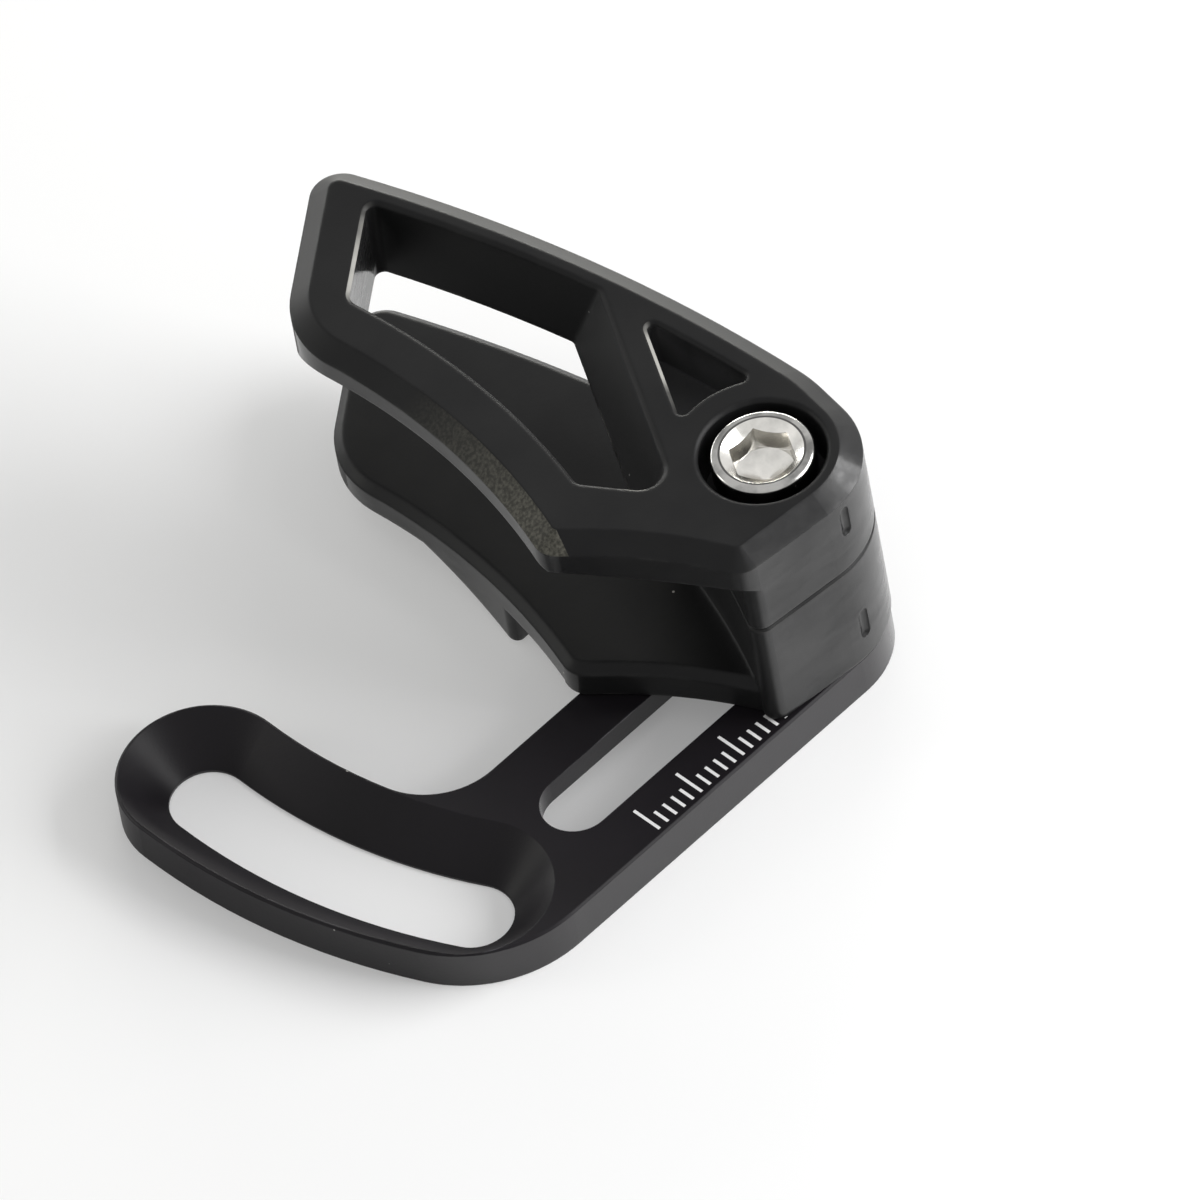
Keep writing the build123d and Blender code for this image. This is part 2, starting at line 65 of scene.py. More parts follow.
edge_links.new(edge_wear_and_highlight.outputs["Value"], edge_out.inputs["Rubbed and highlit"])

# Fine grain, the slow unevenness of handling, and a few bright specks of dust, for every finish
grain_group = bpy.data.node_groups.new("surface_grain", "ShaderNodeTree")
grain_group.interface.new_socket("Grain size", in_out="INPUT", socket_type="NodeSocketFloat")
grain_group.interface.new_socket("Smudge size", in_out="INPUT", socket_type="NodeSocketFloat")
grain_group.interface.new_socket("Height", in_out="OUTPUT", socket_type="NodeSocketFloat")
grain_group.interface.new_socket("Smudge", in_out="OUTPUT", socket_type="NodeSocketFloat")
grain_group.interface.new_socket("Specks", in_out="OUTPUT", socket_type="NodeSocketFloat")
grain_in = grain_group.nodes.new("NodeGroupInput")
grain_out = grain_group.nodes.new("NodeGroupOutput")
grain_place = grain_group.nodes.new("ShaderNodeTexCoord")
grain_scale = grain_group.nodes.new("ShaderNodeMath")
grain_scale.operation = "DIVIDE"
grain_scale.inputs[0].default_value = 1.0
grain_noise = grain_group.nodes.new("ShaderNodeTexNoise")
grain_noise.inputs["Detail"].default_value = 2.0
smudge_scale = grain_group.nodes.new("ShaderNodeMath")
smudge_scale.operation = "DIVIDE"
smudge_scale.inputs[0].default_value = 1.0
smudge_noise = grain_group.nodes.new("ShaderNodeTexNoise")
smudge_noise.inputs["Detail"].default_value = 4.0
speck_cells = grain_group.nodes.new("ShaderNodeTexVoronoi")
speck_cells.inputs["Scale"].default_value = 240.0
speck_size = grain_group.nodes.new("ShaderNodeMapRange")
speck_size.inputs["From Min"].default_value = 0.035
speck_size.inputs["From Max"].default_value = 0.022
speck_pick = grain_group.nodes.new("ShaderNodeSeparateColor")
speck_few = grain_group.nodes.new("ShaderNodeMath")
speck_few.operation = "GREATER_THAN"
speck_few.inputs[1].default_value = 0.5
speck_mask = grain_group.nodes.new("ShaderNodeMath")
speck_mask.operation = "MULTIPLY"
grain_links = grain_group.links
grain_links.new(grain_in.outputs["Grain size"], grain_scale.inputs[1])
grain_links.new(grain_scale.outputs["Value"], grain_noise.inputs["Scale"])
grain_links.new(grain_place.outputs["Object"], grain_noise.inputs["Vector"])
grain_links.new(grain_noise.outputs["Fac"], grain_out.inputs["Height"])
grain_links.new(grain_in.outputs["Smudge size"], smudge_scale.inputs[1])
grain_links.new(smudge_scale.outputs["Value"], smudge_noise.inputs["Scale"])
grain_links.new(grain_place.outputs["Object"], smudge_noise.inputs["Vector"])
grain_links.new(smudge_noise.outputs["Fac"], grain_out.inputs["Smudge"])
grain_links.new(grain_place.outputs["Object"], speck_cells.inputs["Vector"])
grain_links.new(speck_cells.outputs["Distance"], speck_size.inputs["Value"])
grain_links.new(speck_cells.outputs["Color"], speck_pick.inputs["Color"])
grain_links.new(speck_pick.outputs["Red"], speck_few.inputs[0])
grain_links.new(speck_size.outputs["Result"], speck_mask.inputs[0])
grain_links.new(speck_few.outputs["Value"], speck_mask.inputs[1])
grain_links.new(speck_mask.outputs["Value"], grain_out.inputs["Specks"])

plate_finish = bpy.data.materials.new("black_anodised_plate")
plate_finish.use_nodes = True
plate_nodes = plate_finish.node_tree.nodes
plate_links = plate_finish.node_tree.links
plate_shader = plate_nodes["Principled BSDF"]
plate_shader.inputs["Specular IOR Level"].default_value = 0.14
plate_shader.inputs["Coat Roughness"].default_value = 0.16
plate_edge = plate_nodes.new("ShaderNodeGroup")
plate_edge.node_tree = edge_group
plate_edge.inputs["Radius"].default_value = 0.00015
plate_edge.inputs["Patch size"].default_value = 0.004
plate_grain = plate_nodes.new("ShaderNodeGroup")
plate_grain.node_tree = grain_group
plate_grain.inputs["Grain size"].default_value = 0.00025
plate_grain.inputs["Smudge size"].default_value = 0.012

# The dye is a purple black, a little uneven
plate_dye = plate_nodes.new("ShaderNodeValToRGB")
plate_dye.color_ramp.elements[0].position = 0.35
plate_dye.color_ramp.elements[0].color = (0.0056, 0.0048, 0.0060, 1)
plate_dye.color_ramp.elements[1].position = 0.7
plate_dye.color_ramp.elements[1].color = (0.0092, 0.0079, 0.0098, 1)
plate_links.new(plate_grain.outputs["Smudge"], plate_dye.inputs["Fac"])

# The cutter left the countersink's outer wall dull; the milled outer side has a low shine
plate_place = plate_nodes.new("ShaderNodeTexCoord")
plate_facing = plate_nodes.new("ShaderNodeSeparateXYZ")
plate_turned = plate_nodes.new("ShaderNodeVectorMath")
plate_turned.operation = "DOT_PRODUCT"
plate_turned.inputs[1].default_value = (0.6, 0.8, 0)
plate_sunk = plate_nodes.new("ShaderNodeMapRange")
plate_sunk.inputs["From Min"].default_value = 0.0
plate_sunk.inputs["From Max"].default_value = 0.5
plate_sheen = plate_nodes.new("ShaderNodeMapRange")
plate_sheen.inputs["To Min"].default_value = 0.36
plate_sheen.inputs["To Max"].default_value = 0.46
plate_gloss = plate_nodes.new("ShaderNodeMath")
plate_gloss.operation = "MULTIPLY_ADD"
plate_gloss.inputs[1].default_value = 0.5
plate_links.new(plate_place.outputs["Normal"], plate_facing.inputs["Vector"])
plate_links.new(plate_place.outputs["Normal"], plate_turned.inputs[0])
plate_links.new(plate_turned.outputs["Value"], plate_sunk.inputs["Value"])
plate_links.new(plate_grain.outputs["Smudge"], plate_sheen.inputs["Value"])
plate_links.new(plate_sunk.outputs["Result"], plate_gloss.inputs[0])
plate_links.new(plate_sheen.outputs["Result"], plate_gloss.inputs[2])
plate_links.new(plate_gloss.outputs["Value"], plate_shader.inputs["Roughness"])
plate_side = plate_nodes.new("ShaderNodeMapRange")
plate_side.inputs["From Min"].default_value = -0.05
plate_side.inputs["From Max"].default_value = -0.8
plate_side.inputs["To Max"].default_value = 0.88
plate_upright = plate_nodes.new("ShaderNodeMath")
plate_upright.operation = "COMPARE"
plate_upright.inputs[1].default_value = 0.0
plate_upright.inputs[2].default_value = 0.2
plate_shine = plate_nodes.new("ShaderNodeMath")
plate_shine.operation = "MULTIPLY"
plate_links.new(plate_facing.outputs["Y"], plate_side.inputs["Value"])
plate_links.new(plate_facing.outputs["Z"], plate_upright.inputs[0])
plate_links.new(plate_side.outputs["Result"], plate_shine.inputs[0])
plate_links.new(plate_upright.outputs["Value"], plate_shine.inputs[1])
plate_links.new(plate_shine.outputs["Value"], plate_shader.inputs["Coat Weight"])
plate_bump = plate_nodes.new("ShaderNodeBump")
plate_bump.inputs["Strength"].default_value = 0.35
plate_bump.inputs["Distance"].default_value = 0.00002
plate_links.new(plate_grain.outputs["Height"], plate_bump.inputs["Height"])
plate_links.new(plate_edge.outputs["Normal"], plate_bump.inputs["Normal"])
plate_links.new(plate_bump.outputs["Normal"], plate_shader.inputs["Normal"])

# The scale: a line every millimetre on the near land, and a longer one every fifth
scale_start = 0.0185
scale_length = 0.025
scale_edge_y = -0.0206
short_line = 0.0016
long_line = 0.0030
line_width = 0.00028
line_pitch = 0.001
long_line_pitch = 0.005
scale_spot = plate_nodes.new("ShaderNodeSeparateXYZ")
plate_links.new(plate_place.outputs["Object"], scale_spot.inputs["Vector"])
scale_along = plate_nodes.new("ShaderNodeMath")
scale_along.operation = "SUBTRACT"
scale_along.inputs[1].default_value = scale_start
plate_links.new(scale_spot.outputs["X"], scale_along.inputs[0])
scale_across = plate_nodes.new("ShaderNodeMath")
scale_across.operation = "SUBTRACT"
scale_across.inputs[1].default_value = scale_edge_y
plate_links.new(scale_spot.outputs["Y"], scale_across.inputs[0])
line_masks = []
for pitch, line_length in ((line_pitch, short_line), (long_line_pitch, long_line)):
    line_middle = plate_nodes.new("ShaderNodeMath")
    line_middle.operation = "PINGPONG"
    line_middle.inputs[1].default_value = pitch / 2
    line_side = plate_nodes.new("ShaderNodeMath")
    line_side.operation = "LESS_THAN"
    line_side.inputs[1].default_value = line_width / 2
    line_end = plate_nodes.new("ShaderNodeMath")
    line_end.operation = "COMPARE"
    line_end.inputs[1].default_value = line_length / 2
    line_end.inputs[2].default_value = line_length / 2
    line_mask = plate_nodes.new("ShaderNodeMath")
    line_mask.operation = "MULTIPLY"
    plate_links.new(scale_along.outputs["Value"], line_middle.inputs[0])
    plate_links.new(line_middle.outputs["Value"], line_side.inputs[0])
    plate_links.new(scale_across.outputs["Value"], line_end.inputs[0])
    plate_links.new(line_side.outputs["Value"], line_mask.inputs[0])
    plate_links.new(line_end.outputs["Value"], line_mask.inputs[1])
    line_masks.append(line_mask)
scale_lines = plate_nodes.new("ShaderNodeMath")
scale_lines.operation = "MAXIMUM"
plate_links.new(line_masks[0].outputs["Value"], scale_lines.inputs[0])
plate_links.new(line_masks[1].outputs["Value"], scale_lines.inputs[1])
scale_reach = plate_nodes.new("ShaderNodeMath")
scale_reach.operation = "COMPARE"
scale_reach.inputs[1].default_value = scale_length / 2
scale_reach.inputs[2].default_value = scale_length / 2 + line_width
plate_links.new(scale_along.outputs["Value"], scale_reach.inputs[0])
scale_face = plate_nodes.new("ShaderNodeMath")
scale_face.operation = "GREATER_THAN"
scale_face.inputs[1].default_value = 0.95
plate_links.new(plate_facing.outputs["Z"], scale_face.inputs[0])
scale_printed = plate_nodes.new("ShaderNodeMath")
scale_printed.operation = "MULTIPLY"
plate_links.new(scale_lines.outputs["Value"], scale_printed.inputs[0])
plate_links.new(scale_reach.outputs["Value"], scale_printed.inputs[1])
scale_top = plate_nodes.new("ShaderNodeMath")
scale_top.operation = "MULTIPLY"
plate_links.new(scale_printed.outputs["Value"], scale_top.inputs[0])
plate_links.new(scale_face.outputs["Value"], scale_top.inputs[1])

dust_colour = (0.45, 0.44, 0.42, 1)
# Partly painted highlight: the plate's convex edges are painted a lighter purple grey in patches, partly
# rubbed wear and partly standing in for edges that catch the light
plate_wear_and_highlight = plate_nodes.new("ShaderNodeMix")
plate_wear_and_highlight.data_type = "RGBA"
plate_wear_and_highlight.inputs["B"].default_value = (0.10, 0.095, 0.105, 1)
plate_links.new(plate_edge.outputs["Rubbed and highlit"], plate_wear_and_highlight.inputs["Factor"])
plate_links.new(plate_dye.outputs["Color"], plate_wear_and_highlight.inputs["A"])
plate_dusty = plate_nodes.new("ShaderNodeMix")
plate_dusty.data_type = "RGBA"
plate_dusty.inputs["B"].default_value = dust_colour
plate_links.new(plate_grain.outputs["Specks"], plate_dusty.inputs["Factor"])
plate_links.new(plate_wear_and_highlight.outputs["Result"], plate_dusty.inputs["A"])
plate_marked = plate_nodes.new("ShaderNodeMix")
plate_marked.data_type = "RGBA"
plate_marked.inputs["B"].default_value = (0.72, 0.72, 0.72, 1)
plate_links.new(scale_top.outputs["Value"], plate_marked.inputs["Factor"])
plate_links.new(plate_dusty.outputs["Result"], plate_marked.inputs["A"])
plate_links.new(plate_marked.outputs["Result"], plate_shader.inputs["Base Color"])
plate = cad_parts["mounting_plate"]
plate.data.materials.clear()
plate.data.materials.append(plate_finish)


# Clamp nut: a steel T-nut milled from bar. Its flange slides in the rebate on the plate's back and
# its collar stands through the slot and keys the cage, so the bolt can be tightened from one side.
nut_finish = bpy.data.materials.new("milled_steel")
nut_finish.use_nodes = True
nut_nodes = nut_finish.node_tree.nodes
nut_links = nut_finish.node_tree.links
nut_shader = nut_nodes["Principled BSDF"]
nut_shader.inputs["Metallic"].default_value = 1.0
nut_edge = nut_nodes.new("ShaderNodeGroup")
nut_edge.node_tree = edge_group
nut_edge.inputs["Radius"].default_value = 0.0001
nut_grain = nut_nodes.new("ShaderNodeGroup")
nut_grain.node_tree = grain_group
nut_grain.inputs["Grain size"].default_value = 0.0002
nut_grain.inputs["Smudge size"].default_value = 0.003
nut_tone = nut_nodes.new("ShaderNodeValToRGB")
nut_tone.color_ramp.elements[0].position = 0.35
nut_tone.color_ramp.elements[0].color = (0.43, 0.42, 0.40, 1)
nut_tone.color_ramp.elements[1].position = 0.65
nut_tone.color_ramp.elements[1].color = (0.57, 0.55, 0.52, 1)
nut_sheen = nut_nodes.new("ShaderNodeMapRange")
nut_sheen.inputs["To Min"].default_value = 0.24
nut_sheen.inputs["To Max"].default_value = 0.46
nut_place = nut_nodes.new("ShaderNodeTexCoord")
nut_cutter = nut_nodes.new("ShaderNodeTexWave")
nut_cutter.bands_direction = "DIAGONAL"
nut_cutter.inputs["Scale"].default_value = 900.0
nut_cutter.inputs["Distortion"].default_value = 1.5
nut_cutter.inputs["Detail"].default_value = 2.0
nut_bump = nut_nodes.new("ShaderNodeBump")
nut_bump.inputs["Strength"].default_value = 0.3
nut_bump.inputs["Distance"].default_value = 0.00002
nut_links.new(nut_grain.outputs["Smudge"], nut_tone.inputs["Fac"])
nut_links.new(nut_tone.outputs["Color"], nut_shader.inputs["Base Color"])
nut_links.new(nut_grain.outputs["Smudge"], nut_sheen.inputs["Value"])
nut_links.new(nut_sheen.outputs["Result"], nut_shader.inputs["Roughness"])
nut_links.new(nut_place.outputs["Object"], nut_cutter.inputs["Vector"])
nut_links.new(nut_cutter.outputs["Fac"], nut_bump.inputs["Height"])
nut_links.new(nut_edge.outputs["Normal"], nut_bump.inputs["Normal"])
nut_links.new(nut_bump.outputs["Normal"], nut_shader.inputs["Normal"])
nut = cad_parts["clamp_nut"]
nut.data.materials.clear()
nut.data.materials.append(nut_finish)


# Inner cage half: glass-filled nylon, moulded black, with the boss, the inner wing and a rib under the
# wing's edge. It stands on the plate and is keyed by the nut's collar, so it can't turn in the slot.

# The moulded skin of both halves: etched on its flats and in its openings, polished on the outer sides
# that face away from the tip and along the concave edge, grained where it is masked, and painted a
# lighter grey in its recesses, a painted light that stands in for the light that reaches into them
ring_axis = (-0.03499, 0.01577, 0)
polished_reach = 0.0635
bevel_facing = 0.81
skin_group = bpy.data.node_groups.new("moulded_skin", "ShaderNodeTree")
skin_group.interface.new_socket("Grain", in_out="INPUT", socket_type="NodeSocketFloat")
skin_group.interface.new_socket("Smudge", in_out="INPUT", socket_type="NodeSocketFloat")
skin_group.interface.new_socket("Grained", in_out="INPUT", socket_type="NodeSocketFloat")
skin_group.interface.new_socket("Colour", in_out="OUTPUT", socket_type="NodeSocketColor")
skin_group.interface.new_socket("Roughness", in_out="OUTPUT", socket_type="NodeSocketFloat")
skin_group.interface.new_socket("Height", in_out="OUTPUT", socket_type="NodeSocketFloat")
skin_group.interface.new_socket("Polish", in_out="OUTPUT", socket_type="NodeSocketFloat")
skin_in = skin_group.nodes.new("NodeGroupInput")
skin_out = skin_group.nodes.new("NodeGroupOutput")
skin_place = skin_group.nodes.new("ShaderNodeTexCoord")
skin_facing = skin_group.nodes.new("ShaderNodeSeparateXYZ")
skin_upright = skin_group.nodes.new("ShaderNodeMath")
skin_upright.operation = "ABSOLUTE"
skin_side = skin_group.nodes.new("ShaderNodeMapRange")
skin_side.inputs["From Min"].default_value = 0.4
skin_side.inputs["From Max"].default_value = 0.15
skin_bevel = skin_group.nodes.new("ShaderNodeMath")
skin_bevel.operation = "COMPARE"
skin_bevel.inputs[1].default_value = bevel_facing
skin_bevel.inputs[2].default_value = 0.06
skin_scuffs = skin_group.nodes.new("ShaderNodeTexNoise")
skin_scuffs.inputs["Scale"].default_value = 900.0
skin_scuffs.inputs["Detail"].default_value = 4.0
skin_scuffed = skin_group.nodes.new("ShaderNodeMapRange")
skin_scuffed.inputs["From Min"].default_value = 0.38
skin_scuffed.inputs["From Max"].default_value = 0.68
skin_scuffed.inputs["To Min"].default_value = 0.38
skin_scuffed.inputs["To Max"].default_value = 0.72
skin_rubbed = skin_group.nodes.new("ShaderNodeMath")
skin_rubbed.operation = "MULTIPLY"
skin_shiny = skin_group.nodes.new("ShaderNodeMath")
skin_shiny.operation = "MAXIMUM"
skin_turned = skin_group.nodes.new("ShaderNodeVectorMath")
skin_turned.operation = "DOT_PRODUCT"
skin_turned.inputs[1].default_value = (0.5, -0.866, 0)
skin_front = skin_group.nodes.new("ShaderNodeMapRange")
skin_front.inputs["From Min"].default_value = 0.3
skin_front.inputs["From Max"].default_value = 0.55
skin_plan = skin_group.nodes.new("ShaderNodeVectorMath")
skin_plan.operation = "MULTIPLY"
skin_plan.inputs[1].default_value = (1, 1, 0)
skin_ring = skin_group.nodes.new("ShaderNodeVectorMath")
skin_ring.operation = "DISTANCE"
skin_ring.inputs[1].default_value = ring_axis
skin_near = skin_group.nodes.new("ShaderNodeMapRange")
skin_near.inputs["From Min"].default_value = polished_reach
skin_near.inputs["From Max"].default_value = polished_reach - 0.0001
skin_near.inputs["To Max"].default_value = 0.72
skin_edge = skin_group.nodes.new("ShaderNodeMath")
skin_edge.operation = "MULTIPLY"
skin_outside = skin_group.nodes.new("ShaderNodeMath")
skin_outside.operation = "MAXIMUM"
skin_masked = skin_group.nodes.new("ShaderNodeMath")
skin_masked.operation = "MULTIPLY"
skin_polish = skin_group.nodes.new("ShaderNodeMath")
skin_polish.operation = "MULTIPLY"
skin_drawn = skin_group.nodes.new("ShaderNodeMapping")
skin_drawn.inputs["Scale"].default_value = (1, 1, 6)
skin_scratches = skin_group.nodes.new("ShaderNodeTexNoise")
skin_scratches.inputs["Scale"].default_value = 260.0
skin_scratches.inputs["Detail"].default_value = 5.0
skin_scratches.inputs["Roughness"].default_value = 0.65
skin_marks = skin_group.nodes.new("ShaderNodeMath")
skin_marks.operation = "ADD"
skin_uneven = skin_group.nodes.new("ShaderNodeMapRange")
skin_uneven.inputs["From Min"].default_value = 0.75
skin_uneven.inputs["From Max"].default_value = 1.25
skin_uneven.inputs["To Min"].default_value = 0.58
skin_uneven.inputs["To Max"].default_value = 0.96
skin_flat = skin_group.nodes.new("ShaderNodeValToRGB")
skin_flat.color_ramp.elements[0].position = 0.35
skin_flat.color_ramp.elements[0].color = (0.0078, 0.0078, 0.0082, 1)
skin_flat.color_ramp.elements[1].position = 0.7
skin_flat.color_ramp.elements[1].color = (0.0120, 0.0120, 0.0122, 1)
skin_grained = skin_group.nodes.new("ShaderNodeValToRGB")
skin_grained.color_ramp.elements[0].position = 0.38
skin_grained.color_ramp.elements[0].color = (0.042, 0.041, 0.034, 1)
skin_grained.color_ramp.elements[1].position = 0.68
skin_grained.color_ramp.elements[1].color = (0.108, 0.104, 0.087, 1)
skin_tone = skin_group.nodes.new("ShaderNodeMix")
skin_tone.data_type = "RGBA"
# Painted light: where the surface is hemmed in, it is painted a lighter grey, standing in for light
# reaching into the recess
skin_hollow = skin_group.nodes.new("ShaderNodeAmbientOcclusion")
skin_hollow.only_local = True
skin_hollow.samples = 8
skin_hollow.inputs["Distance"].default_value = 0.006
skin_recess_light_mask = skin_group.nodes.new("ShaderNodeMapRange")
skin_recess_light_mask.inputs["From Min"].default_value = 0.55
skin_recess_light_mask.inputs["From Max"].default_value = 0.15
skin_painted_recess_light = skin_group.nodes.new("ShaderNodeMix")
skin_painted_recess_light.data_type = "RGBA"
skin_painted_recess_light.inputs["B"].default_value = (0.11, 0.11, 0.112, 1)
skin_sheen = skin_group.nodes.new("ShaderNodeMapRange")
skin_sheen.inputs["To Min"].default_value = 0.36
skin_sheen.inputs["To Max"].default_value = 0.52
skin_dull = skin_group.nodes.new("ShaderNodeMath")
skin_dull.operation = "MULTIPLY_ADD"
skin_dull.inputs[1].default_value = 0.12
skin_depth = skin_group.nodes.new("ShaderNodeMath")
skin_depth.operation = "MULTIPLY_ADD"
skin_depth.inputs[1].default_value = 0.8
skin_depth.inputs[2].default_value = 0.2
skin_height = skin_group.nodes.new("ShaderNodeMath")
skin_height.operation = "MULTIPLY"
skin_links = skin_group.links
skin_links.new(skin_place.outputs["Normal"], skin_facing.inputs["Vector"])
skin_links.new(skin_facing.outputs["Z"], skin_upright.inputs[0])
skin_links.new(skin_upright.outputs["Value"], skin_side.inputs["Value"])
skin_links.new(skin_upright.outputs["Value"], skin_bevel.inputs[0])
skin_links.new(skin_place.outputs["Object"], skin_scuffs.inputs["Vector"])
skin_links.new(skin_scuffs.outputs["Fac"], skin_scuffed.inputs["Value"])
skin_links.new(skin_bevel.outputs["Value"], skin_rubbed.inputs[0])
skin_links.new(skin_scuffed.outputs["Result"], skin_rubbed.inputs[1])
skin_links.new(skin_side.outputs["Result"], skin_shiny.inputs[0])
skin_links.new(skin_rubbed.outputs["Value"], skin_shiny.inputs[1])
skin_links.new(skin_place.outputs["Normal"], skin_turned.inputs[0])
skin_links.new(skin_turned.outputs["Value"], skin_front.inputs["Value"])
skin_links.new(skin_place.outputs["Object"], skin_drawn.inputs["Vector"])
skin_links.new(skin_drawn.outputs["Vector"], skin_scratches.inputs["Vector"])
skin_links.new(skin_scratches.outputs["Fac"], skin_marks.inputs[0])
skin_links.new(skin_in.outputs["Smudge"], skin_marks.inputs[1])
skin_links.new(skin_marks.outputs["Value"], skin_uneven.inputs["Value"])
skin_links.new(skin_place.outputs["Object"], skin_plan.inputs[0])
skin_links.new(skin_plan.outputs["Vector"], skin_ring.inputs[0])
skin_links.new(skin_ring.outputs["Value"], skin_near.inputs["Value"])
skin_links.new(skin_near.outputs["Result"], skin_edge.inputs[0])
skin_links.new(skin_side.outputs["Result"], skin_edge.inputs[1])
skin_links.new(skin_front.outputs["Result"], skin_outside.inputs[0])
skin_links.new(skin_edge.outputs["Value"], skin_outside.inputs[1])
skin_links.new(skin_shiny.outputs["Value"], skin_masked.inputs[0])
skin_links.new(skin_outside.outputs["Value"], skin_masked.inputs[1])
skin_links.new(skin_masked.outputs["Value"], skin_polish.inputs[0])
skin_links.new(skin_uneven.outputs["Result"], skin_polish.inputs[1])
skin_links.new(skin_polish.outputs["Value"], skin_out.inputs["Polish"])
skin_links.new(skin_in.outputs["Smudge"], skin_flat.inputs["Fac"])
skin_links.new(skin_in.outputs["Grain"], skin_grained.inputs["Fac"])
skin_links.new(skin_in.outputs["Grained"], skin_tone.inputs["Factor"])
skin_links.new(skin_flat.outputs["Color"], skin_tone.inputs["A"])
skin_links.new(skin_grained.outputs["Color"], skin_tone.inputs["B"])
skin_links.new(skin_hollow.outputs["AO"], skin_recess_light_mask.inputs["Value"])
skin_links.new(skin_recess_light_mask.outputs["Result"], skin_painted_recess_light.inputs["Factor"])
skin_links.new(skin_tone.outputs["Result"], skin_painted_recess_light.inputs["A"])
skin_links.new(skin_painted_recess_light.outputs["Result"], skin_out.inputs["Colour"])
skin_links.new(skin_in.outputs["Smudge"], skin_sheen.inputs["Value"])
skin_links.new(skin_in.outputs["Grained"], skin_dull.inputs[0])
skin_links.new(skin_sheen.outputs["Result"], skin_dull.inputs[2])
skin_links.new(skin_dull.outputs["Value"], skin_out.inputs["Roughness"])
skin_links.new(skin_in.outputs["Grained"], skin_depth.inputs[0])
skin_links.new(skin_in.outputs["Grain"], skin_height.inputs[0])
skin_links.new(skin_depth.outputs["Value"], skin_height.inputs[1])
skin_links.new(skin_height.outputs["Value"], skin_out.inputs["Height"])

inner_finish = bpy.data.materials.new("black_nylon_inner")
inner_finish.use_nodes = True
inner_nodes = inner_finish.node_tree.nodes
inner_links = inner_finish.node_tree.links
inner_shader = inner_nodes["Principled BSDF"]
inner_shader.inputs["Specular IOR Level"].default_value = 0.12
inner_shader.inputs["Coat Roughness"].default_value = 0.16
inner_edge = inner_nodes.new("ShaderNodeGroup")
inner_edge.node_tree = edge_group
inner_edge.inputs["Radius"].default_value = 0.0005
inner_edge.inputs["Patch size"].default_value = 0.004
inner_grain = inner_nodes.new("ShaderNodeGroup")
inner_grain.node_tree = grain_group
inner_grain.inputs["Grain size"].default_value = 0.0003
inner_grain.inputs["Smudge size"].default_value = 0.009
inner_skin = inner_nodes.new("ShaderNodeGroup")
inner_skin.node_tree = skin_group
inner_bump = inner_nodes.new("ShaderNodeBump")
inner_bump.inputs["Strength"].default_value = 0.6
inner_bump.inputs["Distance"].default_value = 0.00004
# Partly painted highlight: the cages' convex edges are painted a lighter grey in patches, partly rubbed
# wear and partly standing in for edges that catch the light
nylon_wear_and_highlight = (0.08, 0.08, 0.076, 1)
inner_wear_and_highlight = inner_nodes.new("ShaderNodeMix")
inner_wear_and_highlight.data_type = "RGBA"
inner_wear_and_highlight.inputs["B"].default_value = nylon_wear_and_highlight
inner_dusty = inner_nodes.new("ShaderNodeMix")
inner_dusty.data_type = "RGBA"
inner_dusty.inputs["B"].default_value = dust_colour
inner_links.new(inner_grain.outputs["Height"], inner_skin.inputs["Grain"])
inner_links.new(inner_grain.outputs["Smudge"], inner_skin.inputs["Smudge"])
inner_links.new(inner_skin.outputs["Roughness"], inner_shader.inputs["Roughness"])
inner_links.new(inner_skin.outputs["Polish"], inner_shader.inputs["Coat Weight"])
inner_links.new(inner_skin.outputs["Height"], inner_bump.inputs["Height"])
inner_links.new(inner_edge.outputs["Normal"], inner_bump.inputs["Normal"])
inner_links.new(inner_bump.outputs["Normal"], inner_shader.inputs["Normal"])
inner_links.new(inner_skin.outputs["Colour"], inner_wear_and_highlight.inputs["A"])
inner_links.new(inner_edge.outputs["Rubbed and highlit"], inner_wear_and_highlight.inputs["Factor"])
inner_links.new(inner_wear_and_highlight.outputs["Result"], inner_dusty.inputs["A"])
inner_links.new(inner_grain.outputs["Specks"], inner_dusty.inputs["Factor"])
inner_links.new(inner_dusty.outputs["Result"], inner_shader.inputs["Base Color"])
inner_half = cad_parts["inner_cage"]
inner_half.data.materials.clear()
inner_half.data.materials.append(inner_finish)


# Outer cage half: the same black nylon, moulded with its window, strut, blind pocket and counterbore. It
# lies on the inner half's boss and is held by the bolt alone. Its mould left a few pale, rubbed edges.
outer_finish = bpy.data.materials.new("black_nylon_outer")
outer_finish.use_nodes = True
outer_nodes = outer_finish.node_tree.nodes
outer_links = outer_finish.node_tree.links
outer_shader = outer_nodes["Principled BSDF"]
outer_shader.inputs["Specular IOR Level"].default_value = 0.12
outer_shader.inputs["Coat Roughness"].default_value = 0.16
outer_edge = outer_nodes.new("ShaderNodeGroup")
outer_edge.node_tree = edge_group
outer_edge.inputs["Radius"].default_value = 0.0004
outer_edge.inputs["Patch size"].default_value = 0.004
outer_grain = outer_nodes.new("ShaderNodeGroup")
outer_grain.node_tree = grain_group
outer_grain.inputs["Grain size"].default_value = 0.0003
outer_grain.inputs["Smudge size"].default_value = 0.009
outer_skin = outer_nodes.new("ShaderNodeGroup")
outer_skin.node_tree = skin_group
outer_bump = outer_nodes.new("ShaderNodeBump")
outer_bump.inputs["Strength"].default_value = 0.6
outer_bump.inputs["Distance"].default_value = 0.00004
outer_links.new(outer_grain.outputs["Height"], outer_skin.inputs["Grain"])
outer_links.new(outer_grain.outputs["Smudge"], outer_skin.inputs["Smudge"])
outer_links.new(outer_skin.outputs["Roughness"], outer_shader.inputs["Roughness"])
outer_links.new(outer_skin.outputs["Polish"], outer_shader.inputs["Coat Weight"])
outer_links.new(outer_skin.outputs["Height"], outer_bump.inputs["Height"])
outer_links.new(outer_edge.outputs["Normal"], outer_bump.inputs["Normal"])
outer_links.new(outer_bump.outputs["Normal"], outer_shader.inputs["Normal"])

